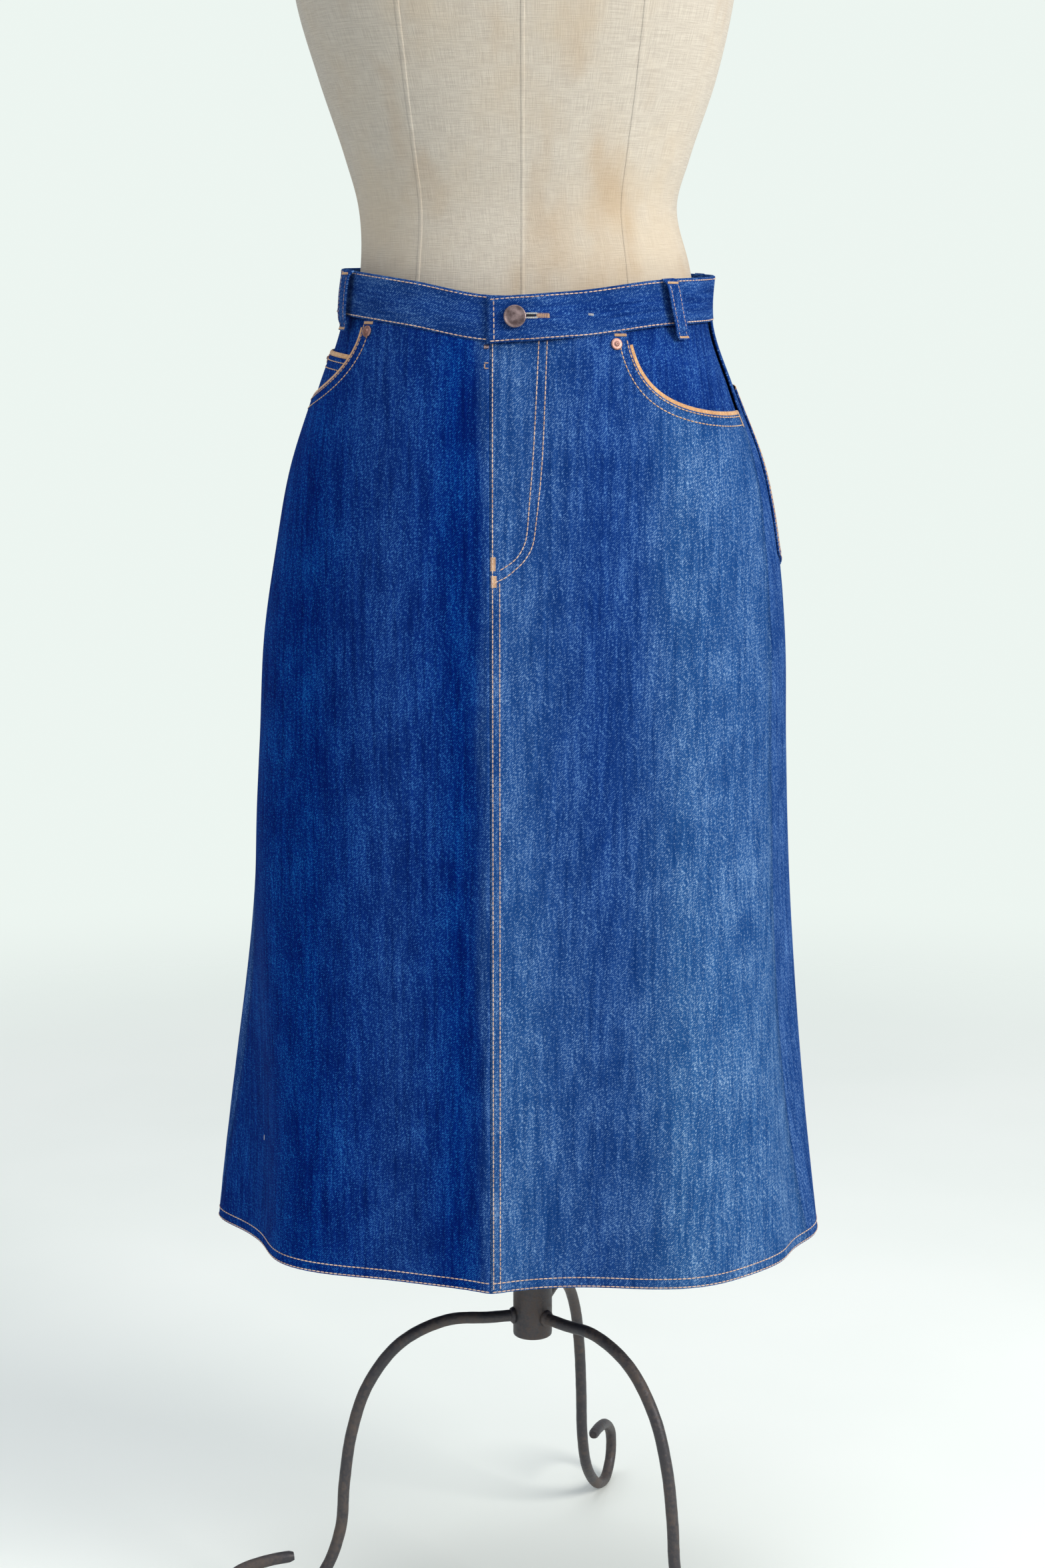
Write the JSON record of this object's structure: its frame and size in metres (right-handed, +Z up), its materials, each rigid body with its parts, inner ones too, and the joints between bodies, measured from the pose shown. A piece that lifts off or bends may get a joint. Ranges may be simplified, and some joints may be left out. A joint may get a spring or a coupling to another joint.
{
  "type": "denim skirt on a dress form",
  "caption": "A-line raw denim skirt with scooped pockets, fly front and turned hem, worn on a linen dress form over a bent-iron tripod stand.",
  "frame": {"origin": "on the floor, under the middle of the whole object's box", "axes": "+Z up, -Y the way the garment faces, +X the wearer's left"},
  "size_m": [0.516, 0.4771, 1.6573],
  "materials": {
    "denim": "raw indigo denim, right-hand twill",
    "piping": "orange-tan folded edging",
    "button_metal": "dark mauve-brown plated metal",
    "copper": "copper-pink rivets",
    "linen": "aged natural linen with brown stains",
    "wood": "dark stained wood",
    "iron": "dark brown-grey iron with a rust tint"
  },
  "bodies": {
    "root": {"front_left": "denim", "front_right": "denim", "back_left": "denim", "back_right": "denim", "waistband": "denim", "pocket_facing_left": "denim", "pocket_facing_right": "denim", "pocket_piping_left": "piping", "pocket_piping_right": "piping", "coin_pocket": "denim", "coin_piping": "piping", "back_pocket_left": "denim", "back_pocket_right": "denim", "back_piping_left": "piping", "back_piping_right": "piping", "belt_loop_front_left": "denim", "belt_loop_front_right": "denim", "belt_loop_side_left": "denim", "belt_loop_side_right": "denim", "belt_loop_back": "denim", "button": "button_metal", "rivet_left": "copper", "rivet_right": "copper", "rivet_coin_pocket": "copper", "dress_form": "linen", "neck_cap": "wood", "base_plate": "wood", "post": "iron", "leg_rear": "iron", "leg_front_right": "iron", "leg_front_left": "iron"}
  },
  "joints": []
}
